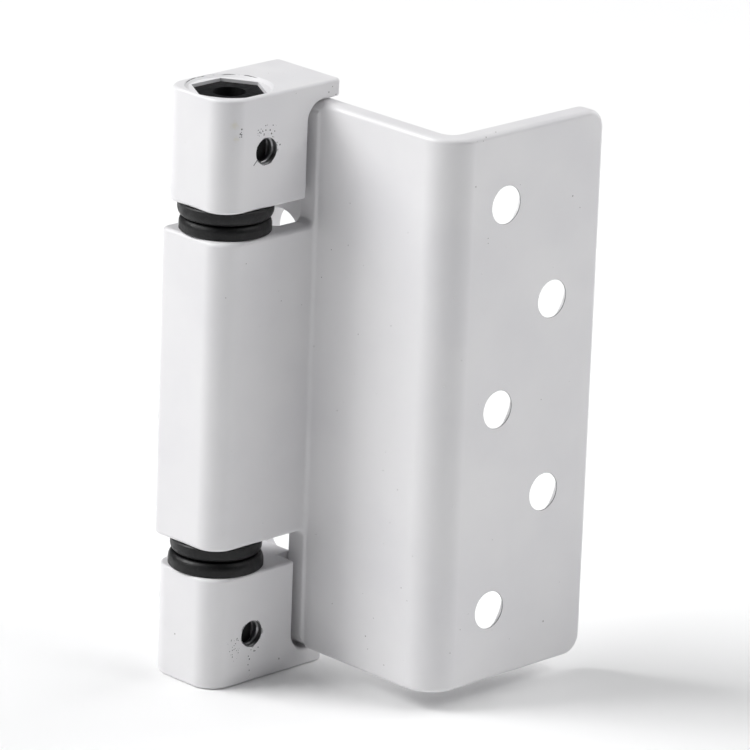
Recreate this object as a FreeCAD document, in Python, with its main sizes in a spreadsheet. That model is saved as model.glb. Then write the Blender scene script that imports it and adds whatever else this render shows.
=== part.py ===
import FreeCAD, Part
import math
import os

import Sketcher

# Offset door hinge, closed. Two leaves cut from extruded profile turn on one pin.
# The frame leaf has a knuckle block at each end and a screw plate behind the gap.
# The door leaf has the middle knuckle, a web that stands forward and a flange.
# Each piece is drawn about the pin: X to the right, Y to the rear, Z up, zero at mid-height.
# Its placement then moves it so that the part's origin is the centre of the frame screws,
# on the face that meets the door frame.

doc = FreeCAD.newDocument("OffsetDoorHinge")
sheet = doc.addObject("Spreadsheet::Sheet", "Sizes")

# Driving sizes in millimetres: alias, value, meaning
sizes = [
    ("leafHeight", 100.0, "frame leaf, bottom to top"),
    ("knuckleSide", 15.0, "square section of every knuckle"),
    ("blockHeight", 19.0, "each knuckle block of the frame leaf"),
    ("mountingReach", 17.7, "pin axis to the frame leaf's mounting face"),
    ("plateThickness", 4.2, "screw plate behind the middle knuckle"),
    ("frontEdgeRadius", 4.3, "front left corner of every knuckle in plan"),
    ("rearEdgeRadius", 3.8, "rear left corner of the blocks in plan"),
    ("rightEdgeRadius", 0.8, "right corners of the frame leaf in plan"),
    ("blockEndRound", 0.6, "rims of the leaf's top and bottom"),
    ("blockInnerRound", 0.5, "rims that face the bushes and the front notch"),
    ("notchReach", 10.7, "pin axis to the left side of the front notch"),
    ("notchDepth", 4.2, "front notch, from the front face to the rear"),
    ("tabThickness", 3.0, "tab left above and below the front notch"),
    ("notchRadius", 3.2, "upper and lower left corner of the notch"),
    ("hexAcross", 11.0, "hexagonal hollow through the blocks, across flats"),
    ("mouthRadius", 7.2, "countersunk mouth of the hollow, at the surface"),
    ("mouthDepth", 0.6, "countersunk mouth, which slopes at 45 degrees"),
    ("lockHoleDiameter", 5.0, "threaded hole for the bush's lock screw"),
    ("lockHoleShift", 1.5, "lock hole to the right of the pin axis"),
    ("lockHoleDrop", 9.4, "upper lock hole below the leaf's top"),
    ("lockHoleRise", 8.4, "lower lock hole above the leaf's bottom"),
    ("frameHoleDiameter", 9.2, "fixing hole through the plate"),
    ("frameHoleShift", 1.2, "frame holes behind the pin axis"),
    ("frameHolePitch", 51.8, "between the two frame holes"),
    ("frameHoleOffset", 3.7, "middle of the frame holes below mid-height"),
    ("tabGap", 0.25, "door leaf to the tabs above and below it"),
    ("profileThickness", 3.84, "front wall, web and flange"),
    ("webInset", 0.96, "web's right face inside the mounting face"),
    ("stubStep", 0.4, "stub's cut face proud of the web's left face"),
    ("flangeOffset", 37.5, "pin axis to the flange's front face"),
    ("flangeWidth", 35.0, "web's left face to the flange's free edge"),
    ("bendInner", 1.9, "inside radius between web and flange"),
    ("rootRadius", 0.8, "hollow corners beside the middle knuckle"),
    ("middleRearRadius", 1.5, "rear corners of the middle knuckle in plan"),
    ("clearingRadius", 1.0, "hollow corners left by the cutter above and below the middle knuckle"),
    ("stubRearRound", 0.8, "rear edge of the stub, which swings past the blocks"),
    ("stubCornerRadius", 2.4, "end corners of the stub inside the notch"),
    ("flangeCornerRadius", 3.3, "free corners of the flange"),
    ("doorHoleDiameter", 6.4, "door screw holes in the flange"),
    ("doorHoleLand", 0.3, "straight wall at the front of a door hole, before its 90 degree sink"),
    ("nearHoleReach", 13.1, "web's left face to the line of three door holes"),
    ("farHoleReach", 24.55, "web's left face to the line of two door holes"),
    ("nearHolePitch", 34.4, "between neighbours in the line of three"),
    ("farHolePitch", 33.0, "between the line of two"),
    ("middleBore", 11.0, "round hollow through the middle knuckle"),
    ("pinDiameter", 8.0, "hinge pin"),
    ("pinChamfer", 0.6, "ends of the pin"),
    ("pinClearance", 0.05, "round the pin, on the radius"),
    ("pinEndPlay", 0.1, "pin to each end wall"),
    ("bushClearance", 0.02, "bush to the hollow that holds it"),
    ("frameFlangeDiameter", 15.7, "flange of a frame bush"),
    ("doorFlangeDiameter", 15.1, "flange of a door bush"),
    ("flangeThickness", 2.35, "flange of every bush"),
    ("bushPlay", 0.1, "between the two flanges in each knuckle gap"),
    ("frameFlangeChamfer", 0.5, "rim of a frame bush's flange"),
    ("doorFlangeChamfer", 0.8, "rim of a door bush's flange"),
    ("bushRecess", 0.95, "frame bush's end below the leaf's end"),
    ("bushEndWall", 3.0, "wall that keeps the pin in"),
    ("bushEndHole", 5.4, "hole through that wall"),
    ("doorBushLength", 16.0, "door bush inside the middle knuckle"),
]

for row, (alias, value, meaning) in enumerate(sizes, start=1):
    sheet.set(f"A{row}", alias)
    sheet.set(f"B{row}", str(value))
    sheet.setAlias(f"B{row}", alias)
    sheet.set(f"C{row}", meaning)
doc.recompute()

cutBeyond = 3.0          # extra length that lets a cut run clear of the solid
sinkSlope = 45           # wall of a door hole's sink, in degrees to the hole's axis
sameWithin = 1e-3        # places closer than this are one place
parallelWithin = 1e-6    # and directions, as one minus the cosine between them


def sized(text):
    """An expression in which each alias stands for its cell."""
    for alias, value, meaning in sizes:
        text = text.replace(f"<{alias}>", f"Sizes.{alias}")
    return text


def valueOf(text):
    return float(sheet.evalExpression(sized(text).replace("Sizes.", "")))


def bind(item, prop, text):
    item.setExpression(prop, sized(text))


# Places that several pieces share
halfLeaf = "<leafHeight> / 2"
halfSide = "<knuckleSide> / 2"
halfGap = "(<leafHeight> / 2 - <blockHeight>)"
halfMiddle = f"({halfGap} - 2 * <flangeThickness> - <bushPlay>)"
notchTop = "(<leafHeight> / 2 - <tabThickness>)"
halfProfile = f"({notchTop} - <tabGap>)"
plateReach = "(<mountingReach> - <plateThickness>)"
webOuter = "(<mountingReach> - <webInset>)"
webReach = f"({webOuter} - <profileThickness>)"
stubReach = f"({webReach} - <stubStep>)"
flangeReach = f"({webReach} + <flangeWidth>)"
flangeRear = "(<profileThickness> - <flangeOffset>)"
wallRear = "(<profileThickness> - <knuckleSide> / 2)"


def newBody(label):
    body = doc.addObject("PartDesign::Body", "Body_" + label)
    body.Label = label
    bind(body, "Placement.Base.x", "-<mountingReach>")
    bind(body, "Placement.Base.y", "-<frameHoleShift>")
    bind(body, "Placement.Base.z", "<frameHoleOffset>")
    return body


def attachTo(item, body, role):
    plane = next(part for part in body.Origin.OriginFeatures if part.Role == role)
    item.AttachmentSupport = [(plane, "")]
    item.MapMode = "FlatFace"


def newSketch(body, name, role, away=None):
    sketch = body.newObject("Sketcher::SketchObject", name)
    attachTo(sketch, body, role)
    if away:
        bind(sketch, "AttachmentOffset.Base.z", away)
    return sketch


def tiePoint(sketch, index, end, across, up):
    for kind, text in (("DistanceX", across), ("DistanceY", up)):
        limit = Sketcher.Constraint(kind, -1, 1, index, end, valueOf(text))
        place = sketch.addConstraint(limit)
        bind(sketch, f"Constraints[{place}]", text)


def cornerEnds(corners, number):
    """Where the outline comes into a corner and leaves it, as pairs of expressions."""
    across, up = corners[number][:2]
    if len(corners[number]) < 3:
        return [(across, up)]
    here = FreeCAD.Vector(valueOf(across), valueOf(up), 0)
    ends = []
    for beside in (number - 1, (number + 1) % len(corners)):
        there = FreeCAD.Vector(valueOf(corners[beside][0]), valueOf(corners[beside][1]), 0)
        way = (there - here).normalize()
        ends.append((f"{across} + {round(way.x)} * ({corners[number][2]})",
                     f"{up} + {round(way.y)} * ({corners[number][2]})"))
    return ends


def addOutline(sketch, corners):
    """A closed loop through corners given as expressions; a third one rounds a square corner."""
    ends = [cornerEnds(corners, number) for number in range(len(corners))]
    points = [[FreeCAD.Vector(valueOf(across), valueOf(up), 0) for across, up in pair] for pair in ends]
    lines = []
    for number, pair in enumerate(points):
        following = points[(number + 1) % len(points)]
        lines.append(sketch.addGeometry(Part.LineSegment(pair[-1], following[0]), False))
    for number, pair in enumerate(ends):
        before, after = lines[number - 1], lines[number]
        tiePoint(sketch, after, 1, *pair[-1])
        if len(pair) == 1:
            sketch.addConstraint(Sketcher.Constraint("Coincident", before, 2, after, 1))
            continue
        tiePoint(sketch, before, 2, *pair[0])
        start, end = points[number]
        corner = FreeCAD.Vector(valueOf(corners[number][0]), valueOf(corners[number][1]), 0)
        centre = start + end - corner
        middle = centre + (corner - centre) * math.sqrt(0.5)
        turn = (middle - start).cross(end - middle).z
        first, last = (start, end) if turn > 0 else (end, start)
        arc = sketch.addGeometry(Part.Arc(first, middle, last), False)
        firstEnd, lastEnd = (1, 2) if turn > 0 else (2, 1)
        sketch.addConstraint(Sketcher.Constraint("Coincident", before, 2, arc, firstEnd))
        sketch.addConstraint(Sketcher.Constraint("Coincident", after, 1, arc, lastEnd))
        radius = corners[number][2]
        limit = sketch.addConstraint(Sketcher.Constraint("Radius", arc, valueOf(radius)))
        bind(sketch, f"Constraints[{limit}]", radius)


def addBox(sketch, left, right, low, high):
    addOutline(sketch, [(left, low), (right, low), (right, high), (left, high)])


def addCircle(sketch, across, up, diameter):
    centre = FreeCAD.Vector(valueOf(across), valueOf(up), 0)
    upright = FreeCAD.Vector(0, 0, 1)
    ring = sketch.addGeometry(Part.Circle(centre, upright, valueOf(diameter) / 2), False)
    tiePoint(sketch, ring, 3, across, up)
    limit = sketch.addConstraint(Sketcher.Constraint("Diameter", ring, valueOf(diameter)))
    bind(sketch, f"Constraints[{limit}]", diameter)


def addHexagon(sketch, across):
    """A hexagon about the pin with one flat square to the front."""
    corner = f"({across}) / 2 / cos(30 deg)"
    addOutline(sketch, [(f"{corner} * cos({degrees} deg)", f"{corner} * sin({degrees} deg)")
                        for degrees in range(0, 360, 60)])


def shapeSketch(body, kind, name, sketch, length, both=False, reverse=False):
    feature = body.newObject("PartDesign::" + kind, name)
    feature.Profile = sketch
    feature.Midplane = both
    feature.Reversed = reverse
    bind(feature, "Length", length)
    doc.recompute()
    return feature


def turnSketch(body, kind, name, sketch):
    feature = body.newObject("PartDesign::" + kind, name)
    feature.Profile = sketch
    feature.ReferenceAxis = (sketch, ["V_Axis"])
    feature.Angle = 360
    doc.recompute()
    return feature


def roundEdges(body, kind, name, chosen, size):
    """Round or chamfer the edges of the body so far for which chosen(edge) holds."""
    base = body.Tip
    names = [f"Edge{number}" for number, edge in enumerate(base.Shape.Edges, start=1) if chosen(edge)]
    feature = body.newObject("PartDesign::" + kind, name)
    feature.Base = (base, names)
    bind(feature, "Radius" if kind == "Fillet" else "Size", size)
    doc.recompute()
    return feature


def runsAlong(edge, axis):
    ends = edge.Vertexes
    if len(ends) < 2 or "Line" not in edge.Curve.TypeId:
        return False
    return abs(abs((ends[1].Point - ends[0].Point).normalize()[axis]) - 1) < parallelWithin


def standsAt(edge, across, deep):
    """An upright edge at this place in plan."""
    middle = edge.CenterOfMass
    apart = math.hypot(middle.x - valueOf(across), middle.y - valueOf(deep))
    return runsAlong(edge, 2) and apart < sameWithin


def liesLevel(edge, height):
    box = edge.BoundBox
    return abs(box.ZMin - height) < sameWithin and abs(box.ZMax - height) < sameWithin


def buildFrameLeaf():
    body = newBody("frame_leaf")

    plan = newSketch(body, "FrameLeafPlan", "XY_Plane")
    addOutline(plan, [
        (f"-{halfSide}", f"-{halfSide}", "<frontEdgeRadius>"),
        ("<mountingReach>", f"-{halfSide}", "<rightEdgeRadius>"),
        ("<mountingReach>", halfSide, "<rightEdgeRadius>"),
        (f"-{halfSide}", halfSide, "<rearEdgeRadius>"),
    ])
    shapeSketch(body, "Pad", "FrameLeafBar", plan, "<leafHeight>", both=True)
    roundEdges(body, "Fillet", "OuterRims",
               lambda edge: liesLevel(edge, valueOf(halfLeaf)) or liesLevel(edge, -valueOf(halfLeaf)),
               "<blockEndRound>")

    # The gap for the middle knuckle leaves the screw plate at the right
    gap = newSketch(body, "KnuckleGapPlan", "XY_Plane")
    addBox(gap, "-<knuckleSide>", plateReach, "-<knuckleSide>", "<knuckleSide>")
    shapeSketch(body, "Pocket", "KnuckleGap", gap, f"2 * {halfGap}", both=True)

    # The front notch takes the end of the door leaf's web
    notch = newSketch(body, "FrontNotchShape", "XZ_Plane", halfSide)
    addOutline(notch, [
        ("<notchReach>", f"-{notchTop}", "<notchRadius>"),
        (f"<mountingReach> + {cutBeyond}", f"-{notchTop}"),
        (f"<mountingReach> + {cutBeyond}", notchTop),
        ("<notchReach>", notchTop, "<notchRadius>"),
    ])
    shapeSketch(body, "Pocket", "FrontNotch", notch, "<notchDepth>")

    def onInnerRim(edge):
        box = edge.BoundBox
        level = liesLevel(edge, valueOf(halfGap)) or liesLevel(edge, -valueOf(halfGap))
        onFront = box.YMax < -valueOf(halfSide) + sameWithin
        beside = box.XMin > valueOf("<notchReach>") - sameWithin
        before = box.XMax < valueOf("<notchReach>") + sameWithin
        within = max(box.ZMax, -box.ZMin) < valueOf(notchTop) + sameWithin
        return (level and before) or (onFront and beside and within)

    roundEdges(body, "Fillet", "InnerRims", onInnerRim, "<blockInnerRound>")

    hollow = newSketch(body, "HexHollowPlan", "XY_Plane")
    addHexagon(hollow, "<hexAcross>")
    shapeSketch(body, "Pocket", "HexHollow", hollow, f"<leafHeight> + {cutBeyond}", both=True)

    # Countersink at each mouth of the hollow
    mouths = newSketch(body, "MouthSection", "XZ_Plane")
    for sign in ("", "-"):
        outside = f"{sign}({halfLeaf} + {cutBeyond})"
        floor = f"{sign}({halfLeaf} - <mouthDepth>)"
        addOutline(mouths, [("0", outside), (f"<mouthRadius> + {cutBeyond}", outside),
                            ("<mouthRadius> - <mouthDepth>", floor), ("0", floor)])
    turnSketch(body, "Groove", "HollowMouths", mouths)

    locks = newSketch(body, "LockHolePlaces", "XZ_Plane", halfSide)
    addCircle(locks, "<lockHoleShift>", f"{halfLeaf} - <lockHoleDrop>", "<lockHoleDiameter>")
    addCircle(locks, "<lockHoleShift>", f"<lockHoleRise> - {halfLeaf}", "<lockHoleDiameter>")
    shapeSketch(body, "Pocket", "LockHoles", locks, halfSide)

    # Fixing holes through the plate, open on the mounting face
    frameHoles = newSketch(body, "FrameHolePlaces", "YZ_Plane", plateReach)
    for sign in ("+", "-"):
        addCircle(frameHoles, "<frameHoleShift>", f"{sign}<frameHolePitch> / 2 - <frameHoleOffset>",
                  "<frameHoleDiameter>")
    shapeSketch(body, "Pocket", "FrameHoles", frameHoles, "<plateThickness>", reverse=True)
    return body


def buildDoorLeaf():
    body = newBody("door_leaf")

    plan = newSketch(body, "DoorLeafPlan", "XY_Plane")
    addOutline(plan, [
        (f"-{halfSide}", f"-{halfSide}", "<frontEdgeRadius>"),
        (webReach, f"-{halfSide}", "<rootRadius>"),
        (webReach, "-<flangeOffset>", "<bendInner> + <profileThickness>"),
        (flangeReach, "-<flangeOffset>"),
        (flangeReach, flangeRear),
        (webOuter, flangeRear, "<bendInner>"),
        (webOuter, wallRear),
        (halfSide, wallRear, "<rootRadius>"),
        (halfSide, halfSide, "<middleRearRadius>"),
        (f"-{halfSide}", halfSide, "<middleRearRadius>"),
    ])
    shapeSketch(body, "Pad", "DoorLeafProfile", plan, f"2 * {halfProfile}", both=True)

    # Above and below the middle knuckle the profile is cut back to a stub
    clearing = newSketch(body, "BlockClearingShape", "XZ_Plane")
    for sign in ("", "-"):
        outside = f"{sign}({halfProfile} + {cutBeyond})"
        addOutline(clearing, [("-<knuckleSide>", f"{sign}{halfMiddle}"),
                              (stubReach, f"{sign}{halfMiddle}", "<clearingRadius>"),
                              (stubReach, outside), ("-<knuckleSide>", outside)])
    shapeSketch(body, "Pocket", "BlockClearings", clearing, f"<knuckleSide> + {cutBeyond}", both=True)
    roundEdges(body, "Fillet", "StubRearEdges", lambda edge: standsAt(edge, stubReach, wallRear),
               "<stubRearRound>")

    # The stub's ends are rounded from the rear so that they clear the notch
    stub = newSketch(body, "StubCornerShape", "XZ_Plane", "<knuckleSide> / 2 + <rootRadius>")
    for sign in ("", "-"):
        low = f"{sign}({halfProfile} - <stubCornerRadius> - {cutBeyond})"
        outside = f"{sign}({halfProfile} + {cutBeyond})"
        left = f"{stubReach} - {cutBeyond}"
        right = f"{stubReach} + <stubCornerRadius> + {cutBeyond}"
        addOutline(stub, [(left, low), (stubReach, low),
                          (stubReach, f"{sign}{halfProfile}", "<stubCornerRadius>"),
                          (right, f"{sign}{halfProfile}"), (right, outside), (left, outside)])
    shapeSketch(body, "Pocket", "StubCorners", stub, "<knuckleSide>")

    def atFreeCorner(edge):
        middle = edge.CenterOfMass
        return (runsAlong(edge, 1) and abs(middle.x - valueOf(flangeReach)) < sameWithin
                and abs(abs(middle.z) - valueOf(halfProfile)) < sameWithin)

    roundEdges(body, "Fillet", "FlangeCorners", atFreeCorner, "<flangeCornerRadius>")

    bore = newSketch(body, "MiddleBorePlan", "XY_Plane")
    addCircle(bore, "0", "0", "<middleBore>")
    shapeSketch(body, "Pocket", "MiddleBore", bore, f"2 * {halfMiddle} + {cutBeyond}", both=True)

    # The door holes are straight at the front and sunk at 90 degrees from behind
    for name, front, slope in (("DoorHoles", "<flangeOffset>", 0),
                               ("DoorHoleSinks", "<flangeOffset> - <doorHoleLand>", sinkSlope)):
        holes = newSketch(body, name + "Places", "XZ_Plane", front)
        for rise in ("0", "<nearHolePitch>", "-<nearHolePitch>"):
            addCircle(holes, f"{webReach} + <nearHoleReach>", rise, "<doorHoleDiameter>")
        for rise in ("<farHolePitch> / 2", "-<farHolePitch> / 2"):
            addCircle(holes, f"{webReach} + <farHoleReach>", rise, "<doorHoleDiameter>")
        pocket = shapeSketch(body, "Pocket", name, holes, "<profileThickness>")
        pocket.TaperAngle = slope
        doc.recompute()
    return body


def buildPin():
    body = newBody("hinge_pin")
    section = newSketch(body, "PinSection", "XY_Plane")
    addCircle(section, "0", "0", "<pinDiameter>")
    shapeSketch(body, "Pad", "PinBar", section,
                "<leafHeight> - 2 * (<bushRecess> + <bushEndWall> + <pinEndPlay>)", both=True)
    roundEdges(body, "Chamfer", "PinEnds", lambda edge: edge.BoundBox.ZLength < sameWithin, "<pinChamfer>")
    return body


def buildFrameBush(label, sign):
    """A hexagonal sleeve, closed but for a small hole, with its flange in the knuckle gap."""
    body = newBody(label)
    upper = sign > 0

    flange = newSketch(body, label + "_flange_plan", "XY_Plane", f"{sign} * {halfGap}")
    addCircle(flange, "0", "0", "<frameFlangeDiameter>")
    shapeSketch(body, "Pad", label + "_flange", flange, "<flangeThickness>", reverse=upper)
    bottom = valueOf(f"{halfGap} - <flangeThickness>")
    roundEdges(body, "Chamfer", label + "_rim",
               lambda edge: liesLevel(edge, sign * bottom), "<frameFlangeChamfer>")

    sleeve = newSketch(body, label + "_sleeve_plan", "XY_Plane", f"{sign} * {halfGap}")
    addHexagon(sleeve, "<hexAcross> - 2 * <bushClearance>")
    shapeSketch(body, "Pad", label + "_sleeve", sleeve, "<blockHeight> - <bushRecess>", reverse=not upper)

    bore = newSketch(body, label + "_bore_plan", "XY_Plane", f"{sign} * ({halfGap} - <flangeThickness>)")
    addCircle(bore, "0", "0", "<pinDiameter> + 2 * <pinClearance>")
    shapeSketch(body, "Pocket", label + "_bore", bore,
                "<flangeThickness> + <blockHeight> - <bushRecess> - <bushEndWall>", reverse=upper)

    hole = newSketch(body, label + "_end_hole_plan", "XY_Plane")
    addCircle(hole, "0", "0", "<bushEndHole>")
    shapeSketch(body, "Pocket", label + "_end_hole", hole, f"<leafHeight> + {cutBeyond}", both=True)
    return body


def buildDoorBush(label, sign):
    """A round sleeve in the middle knuckle with its flange in the knuckle gap."""
    body = newBody(label)
    upper = sign > 0

    flange = newSketch(body, label + "_flange_plan", "XY_Plane", f"{sign} * {halfMiddle}")
    addCircle(flange, "0", "0", "<doorFlangeDiameter>")
    shapeSketch(body, "Pad", label + "_flange", flange, "<flangeThickness>", reverse=not upper)
    top = valueOf(f"{halfMiddle} + <flangeThickness>")
    roundEdges(body, "Chamfer", label + "_rim", lambda edge: liesLevel(edge, sign * top),
               "<doorFlangeChamfer>")

    sleeve = newSketch(body, label + "_sleeve_plan", "XY_Plane", f"{sign} * {halfMiddle}")
    addCircle(sleeve, "0", "0", "<middleBore> - 2 * <bushClearance>")
    shapeSketch(body, "Pad", label + "_sleeve", sleeve, "<doorBushLength>", reverse=upper)

    bore = newSketch(body, label + "_bore_plan", "XY_Plane")
    addCircle(bore, "0", "0", "<pinDiameter> + 2 * <pinClearance>")
    shapeSketch(body, "Pocket", label + "_bore", bore, f"<leafHeight> + {cutBeyond}", both=True)
    return body


bodies = [
    buildFrameLeaf(),
    buildDoorLeaf(),
    buildPin(),
    buildFrameBush("upper_frame_bush", 1),
    buildFrameBush("lower_frame_bush", -1),
    buildDoorBush("upper_door_bush", 1),
    buildDoorBush("lower_door_bush", -1),
]
doc.recompute()

for item in doc.Objects:
    if "Invalid" in item.State or "Error" in item.State:
        raise RuntimeError(f"{item.Label} failed: {item.State}")
for body in bodies:
    if body.Shape.isNull() or not body.Shape.isValid():
        raise RuntimeError(f"{body.Label} has no sound shape")

os.makedirs("parts", exist_ok=True)
for body in bodies:
    body.Shape.exportStep(os.path.join("parts", body.Label + ".step"))
    box = body.Shape.BoundBox
    lengths = " x ".join(f"{length:.2f}" for length in (box.XLength, box.YLength, box.ZLength))
    print(f"{body.Label}: {body.Shape.Volume:.1f} mm3, {lengths} mm")
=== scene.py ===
import math

import bmesh
import bpy
from mathutils import Matrix, Vector


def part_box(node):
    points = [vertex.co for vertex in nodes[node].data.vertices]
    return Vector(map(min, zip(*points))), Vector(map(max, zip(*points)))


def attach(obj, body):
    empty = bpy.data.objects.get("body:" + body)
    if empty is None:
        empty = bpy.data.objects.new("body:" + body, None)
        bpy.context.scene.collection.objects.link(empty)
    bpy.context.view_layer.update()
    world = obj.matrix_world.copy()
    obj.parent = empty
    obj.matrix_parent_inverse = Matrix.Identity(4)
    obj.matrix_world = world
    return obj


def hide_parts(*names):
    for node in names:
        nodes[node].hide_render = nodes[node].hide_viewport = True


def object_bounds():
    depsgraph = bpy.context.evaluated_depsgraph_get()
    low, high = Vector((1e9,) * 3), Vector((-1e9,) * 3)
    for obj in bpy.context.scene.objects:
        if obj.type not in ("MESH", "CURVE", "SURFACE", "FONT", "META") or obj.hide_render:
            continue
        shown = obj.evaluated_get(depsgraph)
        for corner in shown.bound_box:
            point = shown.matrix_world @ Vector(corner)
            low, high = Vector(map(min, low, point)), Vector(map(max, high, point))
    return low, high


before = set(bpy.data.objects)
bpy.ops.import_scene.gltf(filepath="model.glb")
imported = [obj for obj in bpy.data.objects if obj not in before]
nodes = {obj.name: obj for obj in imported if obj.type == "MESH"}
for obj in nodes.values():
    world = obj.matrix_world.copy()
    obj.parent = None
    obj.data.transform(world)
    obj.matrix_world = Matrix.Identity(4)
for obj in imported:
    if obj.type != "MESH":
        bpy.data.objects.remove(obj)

cadBox = [list(corner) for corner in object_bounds()]
mm = 0.001
pinAxis = sum(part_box("hinge_pin"), Vector()) / 2    # middle of the hinge, on its turning axis
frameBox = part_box("frame_leaf")

# Small helpers for shader and geometry trees


def newMaterial(name):
    material = bpy.data.materials.new(name)
    material.use_nodes = True
    tree = material.node_tree
    tree.nodes.clear()
    shader = tree.nodes.new("ShaderNodeBsdfPrincipled")
    output = tree.nodes.new("ShaderNodeOutputMaterial")
    tree.links.new(shader.outputs["BSDF"], output.inputs["Surface"])
    return material, tree, shader


def feed(tree, socket, value):
    if isinstance(value, bpy.types.NodeSocket):
        tree.links.new(value, socket)
    elif value is not None:
        socket.default_value = value


def maths(tree, operation, first, second=None):
    node = tree.nodes.new("ShaderNodeMath")
    node.operation = operation
    for socket, value in zip(node.inputs, (first, second)):
        feed(tree, socket, value)
    return node.outputs[0]


def plus(tree, first, second):
    return maths(tree, "ADD", first, second)


def minus(tree, first, second):
    return maths(tree, "SUBTRACT", first, second)


def times(tree, first, second):
    return maths(tree, "MULTIPLY", first, second)


def diagonal(tree, first, second):
    return maths(tree, "SQRT", plus(tree, times(tree, first, first), times(tree, second, second)))


def mapRange(tree, value, low, high, outLow=0.0, outHigh=1.0):
    node = tree.nodes.new("ShaderNodeMapRange")
    node.interpolation_type = "SMOOTHSTEP"
    for socket, given in zip(node.inputs, (value, low, high, outLow, outHigh)):
        feed(tree, socket, given)
    return node.outputs[0]


def noise(tree, place, scale, detail=2.0, roughness=0.5):
    node = tree.nodes.new("ShaderNodeTexNoise")
    feed(tree, node.inputs["Vector"], place)
    node.inputs["Scale"].default_value = scale
    node.inputs["Detail"].default_value = detail
    node.inputs["Roughness"].default_value = roughness
    return node.outputs["Fac"]


def mixColour(tree, factor, first, second):
    node = tree.nodes.new("ShaderNodeMix")
    node.data_type = "RGBA"
    feed(tree, node.inputs[0], factor)
    feed(tree, node.inputs[6], first)
    feed(tree, node.inputs[7], second)
    return node.outputs[2]


def bump(tree, height, distance, normal=None):
    node = tree.nodes.new("ShaderNodeBump")
    node.inputs["Strength"].default_value = 1.0
    node.inputs["Distance"].default_value = distance
    feed(tree, node.inputs["Height"], height)
    feed(tree, node.inputs["Normal"], normal)
    return node.outputs["Normal"]


def places(tree):
    # object coordinates, whole and as x, y and z
    coordinates = tree.nodes.new("ShaderNodeTexCoord").outputs["Object"]
    apart = tree.nodes.new("ShaderNodeSeparateXYZ")
    tree.links.new(coordinates, apart.inputs[0])
    return coordinates, apart.outputs[0], apart.outputs[1], apart.outputs[2]


def patches(tree, place, kind, low=0.0, high=1.0):
    # noise turned into soft patches between low and high
    cloud = noise(tree, place, kind["scale"], kind["detail"], kind.get("roughness", 0.5))
    return mapRange(tree, cloud, kind["from"], kind["to"], low, high)


def relief(tree, place, kind, normal=None):
    return bump(tree, noise(tree, place, kind["scale"], kind["detail"]), kind["height"], normal)


def distanceTo(tree, place, point):
    node = tree.nodes.new("ShaderNodeVectorMath")
    node.operation = "DISTANCE"
    feed(tree, node.inputs[0], place)
    node.inputs[1].default_value = point
    return node.outputs["Value"]


def either(tree, masks):
    total = masks[0]
    for mask in masks[1:]:
        total = maths(tree, "MAXIMUM", total, mask)
    return total


def spots(tree, place, ragged, rows, core):
    # 1 inside ragged spots, each a point in millimetres from the pin's middle and a radius
    masks = []
    for point, radius in rows:
        apart = distanceTo(tree, place, pinAxis + Vector(point) * mm)
        edge = plus(tree, apart, times(tree, ragged, coat["raggedReach"] * radius * mm))
        masks.append(mapRange(tree, edge, radius * mm, radius * core * mm))
    return either(tree, masks)


def band(tree, value, low, high, soft):
    # 1 between low and high, 0 outside, with soft edges
    rising = mapRange(tree, value, low - soft, low)
    return times(tree, rising, mapRange(tree, value, high + soft, high))


def cells(tree, place, scale):
    # distance from the nearest cell's middle, and that cell's own random number
    pattern = tree.nodes.new("ShaderNodeTexVoronoi")
    pattern.inputs["Scale"].default_value = scale
    feed(tree, pattern.inputs["Vector"], place)
    own = tree.nodes.new("ShaderNodeSeparateColor")
    feed(tree, own.inputs[0], pattern.outputs["Color"])
    return pattern.outputs["Distance"], own.outputs[0]


# Finishes

coat = {
    "colour": (0.815, 0.808, 0.818, 1),
    "shade": (0.775, 0.768, 0.785, 1),
    "clouds": {"scale": 55.0, "detail": 3.0, "from": 0.35, "to": 0.7},
    "sheen": {"scale": 240.0, "detail": 3.0, "from": 0.3, "to": 0.75},
    "roughness": (0.32, 0.43),
    "ior": 1.5,
    "peel": {"scale": 620.0, "detail": 1.5, "height": 0.012 * mm},
    "grain": {"scale": 4200.0, "detail": 2.0, "height": 0.0025 * mm},
    "speck": (0.10, 0.085, 0.07, 1),
    "speckScale": 430.0,
    "speckSize": 0.045,
    "speckCore": 0.55,
    "chipStrength": 0.6,      # share of the speck's colour in a chip
    "chipCore": 0.75,
    "raggedScale": 1800.0,
    "raggedDetail": 2.0,
    "raggedReach": 1.6,       # how far a spot's edge strays, over its radius
    "stain": (0.72, 0.69, 0.55, 1),
    "stainStrength": 0.45,
    "stainCore": 0.1,
    # colour of dark marks, and of the painted shade on the door holes' lands
    "marksAndPaintedShade": (0.10, 0.10, 0.105, 1),
    "bare": (0.34, 0.34, 0.35, 1),
    "bareMetal": 0.85,
    "thickness": 0.05 * mm,
}


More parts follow.
